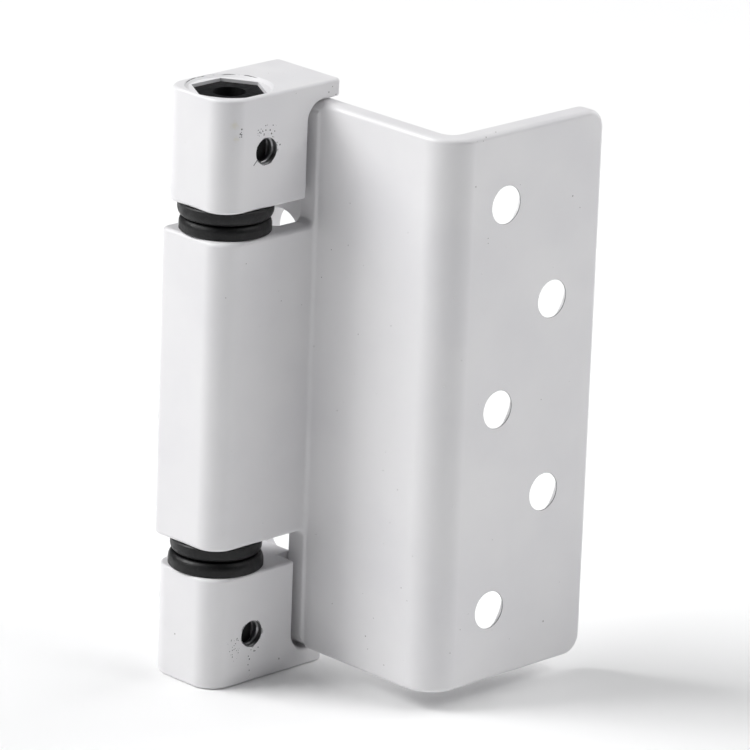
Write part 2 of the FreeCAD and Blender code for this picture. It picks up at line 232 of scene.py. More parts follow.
def whiteCoat(name, bareMask=None, marksAndPaintedShadeMask=None, chips=(), stains=()):
    material, tree, shader = newMaterial(name)
    place, x, y, z = places(tree)
    ragged = minus(tree, noise(tree, place, coat["raggedScale"], coat["raggedDetail"]), 0.5)
    colour = mixColour(tree, patches(tree, place, coat["clouds"]), coat["colour"], coat["shade"])
    if stains:
        stained = spots(tree, place, ragged, stains, coat["stainCore"])
        colour = mixColour(tree, times(tree, stained, coat["stainStrength"]), colour, coat["stain"])

    distance, own = cells(tree, place, coat["speckScale"])
    size = times(tree, own, coat["speckSize"])
    specks = mapRange(tree, distance, size, times(tree, size, coat["speckCore"]))
    if chips:
        chipped = spots(tree, place, ragged, chips, coat["chipCore"])
        specks = maths(tree, "MAXIMUM", specks, times(tree, chipped, coat["chipStrength"]))
    colour = mixColour(tree, specks, colour, coat["speck"])
    bare = bareMask(tree, place, x, y, z) if bareMask else None
    if bare is not None:
        colour = mixColour(tree, bare, colour, coat["bare"])
        feed(tree, shader.inputs["Metallic"], times(tree, bare, coat["bareMetal"]))
    # dark marks; on the door leaf, painted shade on the thin lands inside the door holes
    if marksAndPaintedShadeMask:
        colour = mixColour(tree, marksAndPaintedShadeMask(tree, place, x, y, z), colour, coat["marksAndPaintedShade"])
    feed(tree, shader.inputs["Base Color"], colour)

    feed(tree, shader.inputs["Roughness"], patches(tree, place, coat["sheen"], *coat["roughness"]))
    shader.inputs["IOR"].default_value = coat["ior"]
    surface = relief(tree, place, coat["grain"], relief(tree, place, coat["peel"]))
    if bare is not None:
        surface = bump(tree, minus(tree, 1.0, bare), coat["thickness"], surface)
    feed(tree, shader.inputs["Normal"], surface)
    return material


frontMarks = (-7.0 * mm, -7.3 * mm)    # back from the pin: marks fade in up to the front face
lockHoles = {
    "across": pinAxis.x + 1.5 * mm,
    "front": frameBox[0].y,
    "upper": frameBox[1].z - 9.4 * mm,
    "lower": frameBox[0].z + 8.4 * mm,
    "drilled": 2.5 * mm,     # the solid's plain hole
    "radius": 2.24 * mm,     # the mouth, narrowed by coat and thread
    "crest": 1.88 * mm,
    "pitch": 0.8 * mm,
    "lip": {"scale": 900.0, "detail": 3.0, "from": 0.46, "to": 0.70},
    "lipWidths": {"upper": 0.20 * mm, "lower": 0.26 * mm},
    "lipLeast": 0.03 * mm,
    "walls": (-5.2 * mm, -5.6 * mm),    # back from the pin: bare metal fades in
    "wallBack": -4.0 * mm,              # back from the pin: where the holes' walls end
}
doorHoles = {
    # across and up in millimetres from the pin's middle
    "middles": ((26.0, -34.4), (26.0, 0.0), (26.0, 34.4), (37.45, -16.5), (37.45, 16.5)),
    "radius": 3.2 * mm,
    "drawnLand": 0.3 * mm,      # depth of the straight part in the solid
    "land": 0.14 * mm,          # and as seen
    "sinkRadius": 6.75 * mm,
    "sinkSpread": 1.03,
    # painted shade on the lands: its strength, and where it starts and ends past the hole's edge
    "shade": 0.7,
    "shadeFrom": 0.05 * mm,
    "shadeTo": 0.02 * mm,
}
dust = {
    "scale": 3100.0,
    "size": 0.52,
    "least": 0.30,      # smallest speck, over the largest
    "edge": 0.06,
    # hole, nearest and furthest in millimetres from it, lowest and highest angle, share
    "fans": (("upper", 2.9, 4.3, 50.0, 122.0, 1.0), ("upper", 2.6, 3.0, 5.0, 80.0, 1.0),
             ("lower", 3.0, 5.4, 182.0, 225.0, 0.72), ("lower", 2.6, 3.4, 255.0, 300.0, 1.0)),
    # across, low, high in millimetres from the pin's middle
    "trails": ((-4.05, 43.2, 45.9), (1.15, -49.4, -45.0)),
    "trailWidth": 0.5 * mm,
    "trailCore": 0.3,
    "blur": 0.3 * mm,
    "blurAngle": 6.0,
}
scratch = {
    # across and up in millimetres from the pin's middle
    "from": (-0.05, 39.85),
    "to": (-1.15, 38.75),
    "width": 0.11 * mm,
    "core": 0.4,
    "blur": 0.2 * mm,
}
chips = {
    "frame": (((14.9, -7.5, 48.1), 0.14), ((15.7, -7.5, 48.9), 0.11), ((16.5, -7.5, 47.4), 0.14),
              ((16.0, -7.5, 46.9), 0.09), ((12.3, -6.9, -30.8), 0.30), ((-7.5, -3.3, -29.0), 0.16),
              ((-6.0, -7.3, -38.3), 0.13), ((-7.5, 1.2, -42.1), 0.14), ((7.9, -7.5, -47.5), 0.16)),
    "door": (((12.9, -33.5, 43.4), 0.17), ((13.2, -35.0, 39.8), 0.17), ((18.9, -37.5, 38.7), 0.14),
             ((41.2, -37.5, 33.1), 0.15), ((38.9, -37.5, -39.4), 0.16), ((12.9, -22.5, -40.3), 0.16),
             ((12.9, -27.0, -44.0), 0.15), ((12.9, -34.0, 16.0), 0.22), ((-5.6, -7.0, 23.3), 0.17),
             ((23.6, -36.7, 46.6), 0.20), ((21.0, -37.2, 46.4), 0.14), ((20.2, -37.4, 46.0), 0.12),
             ((-5.2, -7.2, 22.2), 0.14), ((-2.2, -7.5, 22.5), 0.12)),
}
stains = {"frame": (((-5.3, -7.3, 46.0), 1.1), ((-5.0, -7.4, 43.6), 0.8))}
mouthCrack = {
    # thin dark line along the far side of the hollow's upper mouth
    "radius": 7.05 * mm,
    "wanderScale": 260.0,
    "wanderDetail": 3.0,
    "wander": 0.5 * mm,
    "line": (0.08 * mm, 0.02 * mm),
    "rear": (0.5 * mm, 2.0 * mm),
    "right": (-5.2 * mm, -3.6 * mm),
    "below": (0.7 * mm, 0.6 * mm),
    "gaps": {"scale": 420.0, "detail": 3.0, "from": 0.42, "to": 0.54},
}


def onFront(tree, y):
    return mapRange(tree, y, pinAxis.y + frontMarks[0], pinAxis.y + frontMarks[1])


def holePlace(tree, x, z, hole):
    # distance from a lock hole's axis, and the angle about it in degrees from +X towards +Z
    across = minus(tree, x, lockHoles["across"])
    rise = minus(tree, z, lockHoles[hole])
    angle = times(tree, maths(tree, "ARCTAN2", rise, across), math.degrees(1))
    return diagonal(tree, across, rise), maths(tree, "MODULO", plus(tree, angle, 360.0), 360.0)


def frameLeafBare(tree, place, x, y, z):
    # ragged lip of missing coat round each lock hole, and the walls of the holes
    lips = []
    least = lockHoles["lipLeast"]
    ragged = patches(tree, place, lockHoles["lip"])
    for hole, width in lockHoles["lipWidths"].items():
        reach = holePlace(tree, x, z, hole)[0]
        edge = plus(tree, times(tree, ragged, width), lockHoles["radius"] + least)
        lips.append(mapRange(tree, minus(tree, edge, reach), 0.0, least))
    walls = mapRange(tree, y, pinAxis.y + lockHoles["walls"][0], pinAxis.y + lockHoles["walls"][1])
    return times(tree, either(tree, lips), walls)


def dusting(tree, place, x, y, z):
    # where drilling dust was baked into the coat of the front face
    regions = []
    blur = dust["blur"]
    for hole, near, far, low, high, share in dust["fans"]:
        reach, angle = holePlace(tree, x, z, hole)
        fan = band(tree, reach, near * mm, far * mm, blur)
        fan = times(tree, fan, band(tree, angle, low, high, dust["blurAngle"]))
        regions.append(times(tree, fan, share))
    for across, low, high in dust["trails"]:
        off = maths(tree, "ABSOLUTE", minus(tree, x, pinAxis.x + across * mm))
        line = mapRange(tree, off, dust["trailWidth"], dust["trailCore"] * dust["trailWidth"])
        span = band(tree, z, pinAxis.z + low * mm, pinAxis.z + high * mm, blur)
        regions.append(times(tree, line, span))
    distance, own = cells(tree, place, dust["scale"])
    size = times(tree, mapRange(tree, own, dust["least"], 1.0), dust["size"])
    size = times(tree, size, either(tree, regions))
    specks = mapRange(tree, minus(tree, size, distance), 0.0, dust["edge"])
    return times(tree, specks, onFront(tree, y))


def scratchMask(tree, x, y, z):
    # a short cut from the upper lock hole down to the left
    start = Vector(scratch["from"]) * mm
    end = Vector(scratch["to"]) * mm
    way = (end - start).normalized()
    across = minus(tree, x, pinAxis.x + start.x)
    rise = minus(tree, z, pinAxis.z + start.y)
    along = plus(tree, times(tree, across, way.x), times(tree, rise, way.y))
    off = maths(tree, "ABSOLUTE", minus(tree, times(tree, across, way.y), times(tree, rise, way.x)))
    line = mapRange(tree, off, scratch["width"], scratch["core"] * scratch["width"])
    line = times(tree, line, band(tree, along, 0.0, (end - start).length, scratch["blur"]))
    return times(tree, line, onFront(tree, y))


def mouthLine(tree, place, x, y, z):
    across = minus(tree, x, pinAxis.x)
    back = minus(tree, y, pinAxis.y)
    stray = minus(tree, noise(tree, place, mouthCrack["wanderScale"], mouthCrack["wanderDetail"]), 0.5)
    reach = plus(tree, diagonal(tree, across, back), times(tree, stray, mouthCrack["wander"]))
    off = maths(tree, "ABSOLUTE", minus(tree, reach, mouthCrack["radius"]))
    line = mapRange(tree, off, *mouthCrack["line"])
    line = times(tree, line, mapRange(tree, back, *mouthCrack["rear"]))
    line = times(tree, line, mapRange(tree, across, *mouthCrack["right"]))
    lowest, highest = (frameBox[1].z - depth for depth in mouthCrack["below"])
    line = times(tree, line, mapRange(tree, z, lowest, highest))
    return times(tree, line, patches(tree, place, mouthCrack["gaps"]))


def frameLeafInk(tree, place, x, y, z):
    return either(tree, [mouthLine(tree, place, x, y, z), dusting(tree, place, x, y, z),
                         scratchMask(tree, x, y, z)])


def doorLeafPaintedShade(tree, place, x, y, z):
    # painted shade on the thin lands inside the door holes
    masks = []
    radius = doorHoles["radius"]
    for across, rise in doorHoles["middles"]:
        offX = minus(tree, x, pinAxis.x + across * mm)
        offZ = minus(tree, z, pinAxis.z + rise * mm)
        apart = diagonal(tree, offX, offZ)
        shade = mapRange(tree, apart, radius + doorHoles["shadeFrom"], radius + doorHoles["shadeTo"])
        masks.append(shade)
    return times(tree, either(tree, masks), doorHoles["shade"])


plastic = {
    "colour": (0.0025, 0.0025, 0.0030, 1),
    "dusty": (0.012, 0.012, 0.0125, 1),
    "dust": {"scale": 2400.0, "detail": 3.0, "roughness": 0.6, "from": 0.52, "to": 0.75},
    "sheen": {"scale": 700.0, "detail": 2.0, "from": 0.3, "to": 0.7},
    "roughness": (0.39, 0.54),
    "gloss": 0.36,
    "grain": {"scale": 3600.0, "detail": 2.0, "height": 0.035 * mm},
}


def blackPlastic():
    material, tree, shader = newMaterial("blackNylon")
    place = places(tree)[0]
    dusty = patches(tree, place, plastic["dust"])
    colour = mixColour(tree, dusty, plastic["colour"], plastic["dusty"])
    rough = patches(tree, place, plastic["sheen"], *plastic["roughness"])
    feed(tree, shader.inputs["Base Color"], colour)
    feed(tree, shader.inputs["Roughness"], rough)
    shader.inputs["Specular IOR Level"].default_value = plastic["gloss"]
    feed(tree, shader.inputs["Normal"], relief(tree, place, plastic["grain"]))
    return material


steel = {
    "dark": (0.50, 0.50, 0.51, 1),
    "light": (0.62, 0.62, 0.62, 1),
    "stretch": (60.0, 60.0, 9000.0),    # fine grinding lines run round the pin
    "scale": 1.0,
    "detail": 3.0,
    "roughRange": (0.3, 0.7, 0.24, 0.34),
    "height": 0.002 * mm,
}


def groundSteel():
    material, tree, shader = newMaterial("groundSteel")
    place = places(tree)[0]
    stretch = tree.nodes.new("ShaderNodeMapping")
    feed(tree, stretch.inputs["Vector"], place)
    stretch.inputs["Scale"].default_value = steel["stretch"]
    lines = noise(tree, stretch.outputs[0], steel["scale"], steel["detail"])
    feed(tree, shader.inputs["Base Color"], mixColour(tree, lines, steel["dark"], steel["light"]))
    shader.inputs["Metallic"].default_value = 1.0
    feed(tree, shader.inputs["Roughness"], mapRange(tree, lines, *steel["roughRange"]))
    feed(tree, shader.inputs["Normal"], bump(tree, lines, steel["height"]))
    return material


cutAluminium = {
    "dark": (0.20, 0.20, 0.205, 1),
    "light": (0.52, 0.52, 0.53, 1),
    "scale": 900.0,
    "detail": 4.0,
    "noiseRoughness": 0.6,
    "colourRange": (0.35, 0.65),
    "metalRange": (0.3, 0.6, 0.6, 0.95),
    "roughRange": (0.3, 0.7, 0.45, 0.3),
    "grain": {"scale": 3000.0, "detail": 2.0, "height": 0.006 * mm},
}


def cutMetal():
    material, tree, shader = newMaterial("cutAluminium")
    place = places(tree)[0]
    kind = cutAluminium
    stain = noise(tree, place, kind["scale"], kind["detail"], kind["noiseRoughness"])
    bright = mapRange(tree, stain, *kind["colourRange"])
    feed(tree, shader.inputs["Base Color"], mixColour(tree, bright, kind["dark"], kind["light"]))
    feed(tree, shader.inputs["Metallic"], mapRange(tree, stain, *kind["metalRange"]))
    feed(tree, shader.inputs["Roughness"], mapRange(tree, stain, *kind["roughRange"]))
    feed(tree, shader.inputs["Normal"], relief(tree, place, kind["grain"]))
    return material


finishes = {
    "frameCoat": whiteCoat("whiteCoatFrameLeaf", frameLeafBare, frameLeafInk,
                           chips["frame"], stains["frame"]),
    # the door leaf's coat has painted shade on the lands inside its holes
    "doorCoat": whiteCoat("whiteCoatDoorLeaf", marksAndPaintedShadeMask=doorLeafPaintedShade, chips=chips["door"]),
    "plastic": blackPlastic(),
    "steel": groundSteel(),
    "cutMetal": cutMetal(),
}
print("finishes made")

# Pieces

pieces = {
    "frame_leaf": {"piece": "frame_leaf_coated", "body": "frame_side", "finish": "frameCoat",
                   "slot": "white_coat", "rim": 0.16 * mm},
    "door_leaf": {"piece": "door_leaf_coated", "body": "door_side", "finish": "doorCoat",
                  "slot": "white_coat", "rim": 0.28 * mm},
    "hinge_pin": {"piece": "hinge_pin_ground", "body": "frame_side", "finish": "steel",
                  "slot": "steel", "rim": 0.1 * mm},
    "upper_frame_bush": {"piece": "upper_frame_bush_moulded", "body": "frame_side", "finish": "plastic",
                         "slot": "black_plastic", "turned": "frame", "up": 1},
    "lower_frame_bush": {"piece": "lower_frame_bush_moulded", "body": "frame_side", "finish": "plastic",
                         "slot": "black_plastic", "turned": "frame", "up": -1},
    "upper_door_bush": {"piece": "upper_door_bush_moulded", "body": "door_side", "finish": "plastic",
                        "slot": "black_plastic", "turned": "door", "up": 1},
    "lower_door_bush": {"piece": "lower_door_bush_moulded", "body": "door_side", "finish": "plastic",
                        "slot": "black_plastic", "turned": "door", "up": -1},
}
rounding = {
    "segments": 3,
    "softSegments": 4,
    "sharpest": 32.0,     # degrees: edges that turn more get a rim
    "smoothest": 34.0,    # degrees: edges that turn more are shaded sharp
    "flattest": 0.6,      # degrees: faces that turn less become one
    "shortest": 0.12 * mm,
    "merge": 0.002 * mm,
    "tiny": 0.001 * mm,
    "normalWeight": 60,
}
slack = {"level": 0.05 * mm, "depth": 0.02 * mm, "hole": 0.03 * mm}    # for finding a solid's edges
mouth = {
    "depth": 0.6 * mm,      # of the dished floor round the hollow, in the solid
    "reach": 6.7 * mm,
    "lift": 0.12 * mm,      # how much shallower it is seen
}
doorLeaf = {
    # places in millimetres across or back from the pin's middle, and the rims there
    "freeEdge": 44.5,
    "webLeft": 12.95,
    "webRight": 16.7,
    "bend": -31.0,
    "front": -37.5,
    "knuckleInner": 7.0,
    "knuckleRight": 12.5,
    "knuckleHeight": 26.2 * mm,    # from the middle to the knuckle's ends
    "knuckleRim": 0.45 * mm,
    "endRim": 0.9 * mm,
    "holeRim": 0.06 * mm,
}
bushes = {
    "steps": 96,
    "flange": 2.35 * mm,
    "sleeve": 5.48 * mm,    # half the hexagon's width across flats, and the round sleeve's radius
    "bore": 4.05 * mm,
    "endHole": 2.7 * mm,
    "endWall": 3.0 * mm,
    "softEdge": 0.18 * mm,
    "rimSteps": 7,
    # how far the rim at the mating face comes in, and how high it is
    "frame": {"across": 0.85 * mm, "high": 1.45 * mm, "sides": 6},
    "door": {"across": 0.95 * mm, "high": 1.20 * mm, "sides": 0},
}


def bakedMesh(thing, name):
    # the evaluated mesh of thing, as plain data
    evaluated = thing.evaluated_get(bpy.context.evaluated_depsgraph_get())
    mesh = bpy.data.meshes.new_from_object(evaluated)
    mesh.name = name
    return mesh


def placeObject(name, mesh):
    thing = bpy.data.objects.new(name, mesh)
    bpy.context.scene.collection.objects.link(thing)
    return thing


def isSharp(edge):
    return len(edge.link_faces) == 2 and edge.calc_face_angle() > math.radians(rounding["sharpest"])


def softenRims(work, edges, width):
    bmesh.ops.bevel(work, geom=edges, offset=width, offset_type="OFFSET", profile=0.5,
                    segments=rounding["softSegments"], affect="EDGES", clamp_overlap=True)


def inPlan(vert):
    # millimetres across and back from the pin's middle
    return (vert.co.x - pinAxis.x) / mm, (vert.co.y - pinAxis.y) / mm


def frameLeafTouches(work):
    # mouths of the lock holes, narrowed by their coat, and the dished floor round the hollow
    for vert in work.verts:
        place = vert.co
        for hole in ("upper", "lower"):
            axis = Vector((lockHoles["across"], place.y, lockHoles[hole]))
            apart = (place - axis).length
            onWall = abs(apart - lockHoles["drilled"]) < slack["hole"]
            if onWall and place.y < pinAxis.y + lockHoles["wallBack"]:
                vert.co = axis + (place - axis) * (lockHoles["radius"] / apart)
        up = 1 if place.z > pinAxis.z else -1
        end = frameBox[1].z if up > 0 else frameBox[0].z
        offAxis = math.hypot(place.x - pinAxis.x, place.y - pinAxis.y)
        onFloor = abs(abs(place.z - end) - mouth["depth"]) < slack["depth"]
        if onFloor and offAxis < mouth["reach"]:
            vert.co.z = place.z + up * mouth["lift"]


def nearHole(place, radius):
    for across, rise in doorHoles["middles"]:
        apart = math.hypot(place.x - pinAxis.x - across * mm, place.z - pinAxis.z - rise * mm)
        if abs(apart - radius) < slack["hole"]:
            return Vector((pinAxis.x + across * mm, place.y, pinAxis.z + rise * mm))
    return None


def onEndOutline(edge, ends):
    # along the web's and flange's cut ends, and round the flange's free edge
    plans = [inPlan(vert) for vert in edge.verts]
    if all(across > doorLeaf["freeEdge"] for across, back in plans):
        return True
    atEnd = any(all(abs(vert.co.z - end) < slack["level"] for vert in edge.verts) for end in ends)
    for across, back in plans:
        if doorLeaf["webLeft"] <= across <= doorLeaf["webRight"] and back >= doorLeaf["bend"]:
            return False
    return atEnd


def onKnuckleEnd(edge):
    # outer outline of the middle knuckle's two ends
    for vert in edge.verts:
        across, back = inPlan(vert)
        off = abs(abs(vert.co.z - pinAxis.z) - doorLeaf["knuckleHeight"])
        outer = math.hypot(across, back) > doorLeaf["knuckleInner"]
        if off >= slack["level"] or not outer or across >= doorLeaf["knuckleRight"]:
            return False
    return True


def doorLeafTouches(work):
    # rounder rims at the ends, thin lands in the door holes, and sinks a little wider at the rear
    front = min(vert.co.y for vert in work.verts)
    for vert in work.verts:
        onLand = abs(vert.co.y - front - doorHoles["drawnLand"]) < slack["depth"]
        if onLand and nearHole(vert.co, doorHoles["radius"]):
            vert.co.y = front + doorHoles["land"]
        middle = nearHole(vert.co, doorHoles["sinkRadius"])
        if middle:
            vert.co = middle + (vert.co - middle) * doorHoles["sinkSpread"]
    ends = (min(vert.co.z for vert in work.verts), max(vert.co.z for vert in work.verts))
    outline = [edge for edge in work.edges if isSharp(edge) and onEndOutline(edge, ends)]
    softenRims(work, outline, doorLeaf["endRim"])
    outline = [edge for edge in work.edges if isSharp(edge) and onKnuckleEnd(edge)]
    softenRims(work, outline, doorLeaf["knuckleRim"])


touches = {"frame_leaf": frameLeafTouches, "door_leaf": doorLeafTouches}


def edgeRim(nodeName, edge, facts):
    # width of the rim along this edge
    if edge.calc_length() < rounding["shortest"]:
        return 0.0
    if nodeName == "door_leaf" and all(nearHole(vert.co, doorHoles["radius"]) for vert in edge.verts):
        front = pinAxis.y + doorLeaf["front"] * mm
        return doorLeaf["holeRim"] if abs(edge.verts[0].co.y - front) < slack["depth"] else 0.0
    return facts["rim"]


def mergedCopy(nodeName, facts):
    # the solid's mesh, merged and touched up, with the width of each edge's rim as its weight
    mesh = nodes[nodeName].data.copy()
    mesh.name = facts["piece"]
    work = bmesh.new()
    work.from_mesh(mesh)
    bmesh.ops.remove_doubles(work, verts=work.verts, dist=rounding["merge"])
    bmesh.ops.dissolve_degenerate(work, edges=work.edges, dist=rounding["tiny"])
    bmesh.ops.dissolve_limit(work, angle_limit=math.radians(rounding["flattest"]),
                             verts=work.verts, edges=work.edges)
    if nodeName in touches:
        touches[nodeName](work)
    weight = work.edges.layers.float.new("bevel_weight_edge")
    for edge in work.edges:
        if isSharp(edge):
            edge[weight] = edgeRim(nodeName, edge, facts) / facts["rim"]
    work.to_mesh(mesh)
    work.free()
    return mesh


def rimmedMesh(nodeName, facts):
    draft = placeObject(facts["piece"] + "_draft", mergedCopy(nodeName, facts))
    bevel = draft.modifiers.new("rims", "BEVEL")
    bevel.width = facts["rim"]
    bevel.segments = rounding["segments"]
    bevel.limit_method = "WEIGHT"
    bevel.miter_outer = "MITER_ARC"
    mesh = bakedMesh(draft, facts["piece"])
    bpy.data.objects.remove(draft)
    return mesh


def bushProfile(shape, radius, length):
    # radius, height from the mating face, and whether the point follows the sleeve's sides
    soft = bushes["softEdge"]
    sleeve = bushes["sleeve"]
    points = [(bushes["bore"] + soft, 0.0, False)]
    for step in range(bushes["rimSteps"] + 1):
        turn = math.pi / 2 * step / bushes["rimSteps"]
        across = radius - shape["across"] * (1 - math.sin(turn))
        points.append((across, shape["high"] * (1 - math.cos(turn)), False))
    points.append((radius, bushes["flange"] - soft, False))
    points.append((radius - soft, bushes["flange"], False))
    points.append((sleeve, bushes["flange"], True))
    points.append((sleeve, length - soft, True))
    points.append((sleeve - soft, length, True))
    if shape["sides"]:
        points.append((bushes["endHole"], length, False))
        points.append((bushes["endHole"], length - bushes["endWall"], False))
        points.append((bushes["bore"], length - bushes["endWall"], False))
    else:
        points.append((bushes["bore"] + soft, length, False))
        points.append((bushes["bore"], length - soft, False))
    points.append((bushes["bore"], soft, False))
    return points


def turnedBush(nodeName, facts):
    shape = bushes[facts["turned"]]
    low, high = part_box(nodeName)
    radius = (high.x - low.x) / 2
    # the mating face is the frame bush's inner end and the door bush's outer end
    along = facts["up"] if facts["turned"] == "frame" else -facts["up"]
    start = low.z if along > 0 else high.z
    work = bmesh.new()
    rings = []
    for across, rise, follows in bushProfile(shape, radius, high.z - low.z):
        ring = []
        for step in range(bushes["steps"]):
            turn = math.tau * step / bushes["steps"]
            reach = across
            if follows and shape["sides"]:
                side = math.tau / shape["sides"]
                reach = across / math.cos(turn % side - side / 2)
            ring.append(work.verts.new((
                pinAxis.x + reach * math.cos(turn),
                pinAxis.y + reach * math.sin(turn),
                start + along * rise)))
        rings.append(ring)
    for ring, after in zip(rings, rings[1:] + rings[:1]):
        for step in range(bushes["steps"]):
            following = (step + 1) % bushes["steps"]
            work.faces.new((ring[step], ring[following], after[following], after[step]))
    bmesh.ops.recalc_face_normals(work, faces=work.faces)
    mesh = bpy.data.meshes.new(facts["piece"])
    work.to_mesh(mesh)
    work.free()
    return mesh


def makePiece(nodeName, facts):
    mesh = turnedBush(nodeName, facts) if "turned" in facts else rimmedMesh(nodeName, facts)
    for face in mesh.polygons:
        face.use_smooth = True
    mesh.set_sharp_from_angle(angle=math.radians(rounding["smoothest"]))
    mesh.materials.clear()
    mesh.materials.append(finishes[facts["finish"]])
    thing = placeObject(facts["piece"], mesh)
    weigh = thing.modifiers.new("evenShading", "WEIGHTED_NORMAL")
    weigh.keep_sharp = True
    weigh.weight = rounding["normalWeight"]
    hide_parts(nodeName)
    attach(thing, facts["body"])
    return thing


made = {name: makePiece(name, facts) for name, facts in pieces.items()}
print("pieces made:", len(made))

# Screw threads in the lock holes

thread = {
    "turns": 1.9,
    "stepsPerTurn": 40,
    "inset": 0.30 * mm,
    "sinkSteps": 14,
    "sinkPast": 1.15,     # how deep the ends sink, over the crest's height
    "halfWidth": 0.42,    # half the crest's foot, over the pitch
}


def addNode(tree, kind, **settings):
    node = tree.nodes.new(kind)
    for name, value in settings.items():
        setattr(node, name, value)
    return node


def newTree(name, inputs, output):
    # a geometry tree with its named inputs: returns the tree, its inputs' sockets and its output's
    tree = bpy.data.node_groups.new(name, "GeometryNodeTree")
    for label, kind in inputs:
        tree.interface.new_socket(label, in_out="INPUT", socket_type="NodeSocket" + kind)
    tree.interface.new_socket(output, in_out="OUTPUT", socket_type="NodeSocketGeometry")
    given = addNode(tree, "NodeGroupInput").outputs
    result = addNode(tree, "NodeGroupOutput").inputs
    return tree, given, result


def setInputs(modifier, values):
    for item in modifier.node_group.interface.items_tree:
        if item.in_out == "INPUT" and item.name in values:
            modifier[item.identifier] = values[item.name]


def finishTree(tree, geometry, material, result):
    real = addNode(tree, "GeometryNodeRealizeInstances")
    feed(tree, real.inputs[0], geometry)
    painted = addNode(tree, "GeometryNodeSetMaterial")
    feed(tree, painted.inputs["Geometry"], real.outputs[0])
    feed(tree, painted.inputs["Material"], material)
    feed(tree, result[0], painted.outputs["Geometry"])


def threadTree():
    tree, given, result = newTree("lockThreads", (
        ("Hole Radius", "Float"), ("Crest Radius", "Float"), ("Pitch", "Float"), ("Turns", "Float"),
        ("Steps Per Turn", "Float"), ("Sink Steps", "Float"), ("Upper Hole", "Vector"),
        ("Lower Hole", "Vector"), ("Finish", "Material")), "Threads")
    steps = times(tree, given["Turns"], given["Steps Per Turn"])
    line = addNode(tree, "GeometryNodeMeshLine")
    feed(tree, line.inputs["Count"], plus(tree, steps, 1.0))
    curve = addNode(tree, "GeometryNodeMeshToCurve")
    feed(tree, curve.inputs["Mesh"], line.outputs["Mesh"])

    # the helix runs along +Z here, and sinks into the wall over its last steps at both ends
    number = addNode(tree, "GeometryNodeInputIndex").outputs[0]
    turns = maths(tree, "DIVIDE", number, given["Steps Per Turn"])
    angle = times(tree, turns, math.tau)
    fromEnd = maths(tree, "MINIMUM", number, minus(tree, steps, number))
    risen = maths(tree, "MINIMUM", maths(tree, "DIVIDE", fromEnd, given["Sink Steps"]), 1.0)
    depth = minus(tree, given["Hole Radius"], given["Crest Radius"])
    sunk = times(tree, minus(tree, 1.0, risen), times(tree, depth, thread["sinkPast"]))
    radius = plus(tree, given["Hole Radius"], sunk)
    point = addNode(tree, "ShaderNodeCombineXYZ")
    feed(tree, point.inputs[0], times(tree, radius, maths(tree, "COSINE", angle)))
    feed(tree, point.inputs[1], times(tree, radius, maths(tree, "SINE", angle)))
    feed(tree, point.inputs[2], times(tree, turns, given["Pitch"]))
    moved = addNode(tree, "GeometryNodeSetPosition")
    feed(tree, moved.inputs["Geometry"], curve.outputs["Curve"])
    feed(tree, moved.inputs["Position"], point.outputs[0])
    upright = addNode(tree, "GeometryNodeSetCurveNormal", mode="Z_UP")
    feed(tree, upright.inputs["Curve"], moved.outputs["Geometry"])

    # a section with four corners: the inner one is the crest, the outer one is buried in the wall
    section = addNode(tree, "GeometryNodeCurvePrimitiveQuadrilateral", mode="POINTS")
    half = times(tree, given["Pitch"], thread["halfWidth"])
    corners = (("Point 1", depth, None), ("Point 2", None, half),
               ("Point 3", times(tree, depth, -1.0), None), ("Point 4", None, times(tree, half, -1.0)))
    for label, across, along in corners:
        corner = addNode(tree, "ShaderNodeCombineXYZ")
        feed(tree, corner.inputs[0], across)
        feed(tree, corner.inputs[1], along)
        feed(tree, section.inputs[label], corner.outputs[0])
    sweep = addNode(tree, "GeometryNodeCurveToMesh")
    feed(tree, sweep.inputs["Curve"], upright.outputs["Curve"])
    feed(tree, sweep.inputs["Profile Curve"], section.outputs["Curve"])
    sweep.inputs["Fill Caps"].default_value = True

    both = addNode(tree, "GeometryNodeJoinGeometry")
    for hole in ("Upper Hole", "Lower Hole"):
        spot = addNode(tree, "GeometryNodePoints")
        feed(tree, spot.inputs["Position"], given[hole])
        tree.links.new(spot.outputs[0], both.inputs[0])
    repeat = addNode(tree, "GeometryNodeInstanceOnPoints")
    feed(tree, repeat.inputs["Points"], both.outputs[0])
    feed(tree, repeat.inputs["Instance"], sweep.outputs["Mesh"])
    # +Z of the helix turns to +Y, into the wall
    repeat.inputs["Rotation"].default_value = (-math.pi / 2, 0, 0)
    finishTree(tree, repeat.outputs[0], given["Finish"], result)
    return tree


def growPiece(name, tree, values, body, source=None):
    # runs the tree once on a copy of source, or on nothing, and keeps a plain mesh
    draft = placeObject(name + "_draft", source.copy() if source else bpy.data.meshes.new(name))
    grow = draft.modifiers.new("grow", "NODES")
    grow.node_group = tree
    setInputs(grow, values)
    thing = placeObject(name, bakedMesh(draft, name))
    bpy.data.objects.remove(draft)
    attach(thing, body)
    return thing


def lockHole(height):
    return (lockHoles["across"], lockHoles["front"] + thread["inset"], height)


lockThread = growPiece("lock_hole_threads", threadTree(), {
    "Hole Radius": lockHoles["radius"],
    "Crest Radius": lockHoles["crest"],
    "Pitch": lockHoles["pitch"],
    "Turns": thread["turns"],
    "Steps Per Turn": thread["stepsPerTurn"],
    "Sink Steps": thread["sinkSteps"],
    "Upper Hole": lockHole(lockHoles["upper"]),
    "Lower Hole": lockHole(lockHoles["lower"]),
    "Finish": finishes["cutMetal"],
}, "frame_side")
print("lock threads:", len(lockThread.data.polygons), "faces")

# Nibs in the coat

nibs = {
    "perSquareMetre": 3500.0,
    "smallest": 0.05 * mm,
    "largest": 0.16 * mm,
    "proud": 0.35,       # height of a nib over its radius
    "fineness": 2,       # subdivisions of a nib's ball
    "frameSeed": 4,
    "doorSeed": 11,
}


